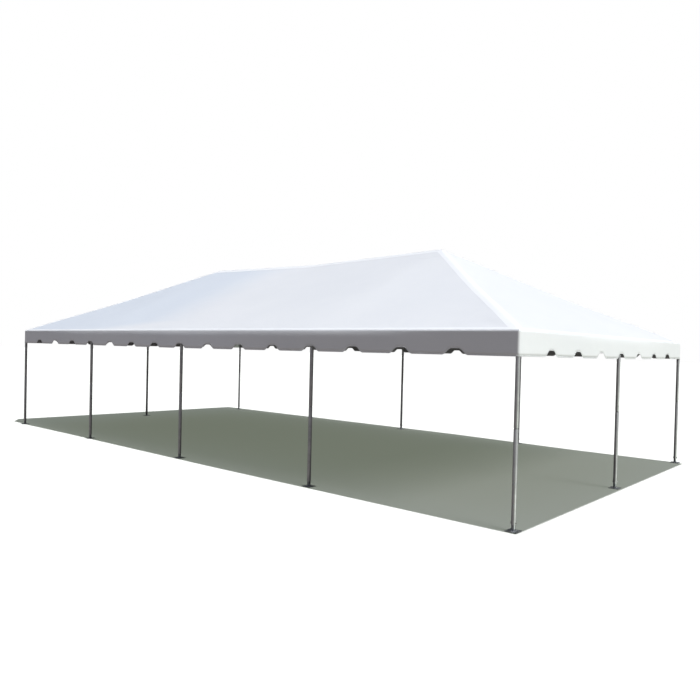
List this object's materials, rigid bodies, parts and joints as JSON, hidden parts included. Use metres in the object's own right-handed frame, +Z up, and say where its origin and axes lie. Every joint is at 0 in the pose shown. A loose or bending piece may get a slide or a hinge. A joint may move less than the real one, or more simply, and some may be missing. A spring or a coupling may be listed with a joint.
{
  "type": "frame marquee tent",
  "caption": "Open-sided hip-roofed marquee: a white vinyl canopy with a scalloped valance over a pinned aluminium tube frame on round legs with square base plates.",
  "frame": {"origin": "on the ground under the middle of the plan", "axes": "+X along the long side, +Z up, so the front long side is at -Y and the right end at +X"},
  "size_m": [12.332, 6.236, 3.6233],
  "materials": {
    "vinyl": "coated white vinyl, satin",
    "aluminium_tube": "mill-finish extruded tube",
    "cast_aluminium": "cast, matt",
    "galvanised_steel": "galvanised, dull"
  },
  "bodies": {
    "root": {"canopy": "vinyl", "corner_fitting_back_left": "cast_aluminium", "corner_fitting_back_right": "cast_aluminium", "corner_fitting_front_left": "cast_aluminium", "corner_fitting_front_right": "cast_aluminium", "crown_fitting_left": "cast_aluminium", "crown_fitting_right": "cast_aluminium", "eave_rail_back": "aluminium_tube", "eave_rail_front": "aluminium_tube", "eave_rail_left": "aluminium_tube", "eave_rail_right": "aluminium_tube", "foot_back_1": "galvanised_steel", "foot_back_2": "galvanised_steel", "foot_back_3": "galvanised_steel", "foot_back_4": "galvanised_steel", "foot_back_5": "galvanised_steel", "foot_front_1": "galvanised_steel", "foot_front_2": "galvanised_steel", "foot_front_3": "galvanised_steel", "foot_front_4": "galvanised_steel", "foot_front_5": "galvanised_steel", "foot_left_middle": "galvanised_steel", "foot_right_middle": "galvanised_steel", "hip_rafter_back_left": "aluminium_tube", "hip_rafter_back_right": "aluminium_tube", "hip_rafter_front_left": "aluminium_tube", "hip_rafter_front_right": "aluminium_tube", "leg_back_1": "aluminium_tube", "leg_back_2": "aluminium_tube", "leg_back_3": "aluminium_tube", "leg_back_4": "aluminium_tube", "leg_back_5": "aluminium_tube", "leg_front_1": "aluminium_tube", "leg_front_2": "aluminium_tube", "leg_front_3": "aluminium_tube", "leg_front_4": "aluminium_tube", "leg_front_5": "aluminium_tube", "leg_left_middle": "aluminium_tube", "leg_right_middle": "aluminium_tube", "rafter_back_left": "aluminium_tube", "rafter_back_middle": "aluminium_tube", "rafter_back_right": "aluminium_tube", "rafter_end_left": "aluminium_tube", "rafter_end_right": "aluminium_tube", "rafter_front_left": "aluminium_tube", "rafter_front_middle": "aluminium_tube", "rafter_front_right": "aluminium_tube", "ridge_fitting_middle": "cast_aluminium", "ridge_tube_left": "aluminium_tube", "ridge_tube_right": "aluminium_tube"}
  },
  "joints": []
}
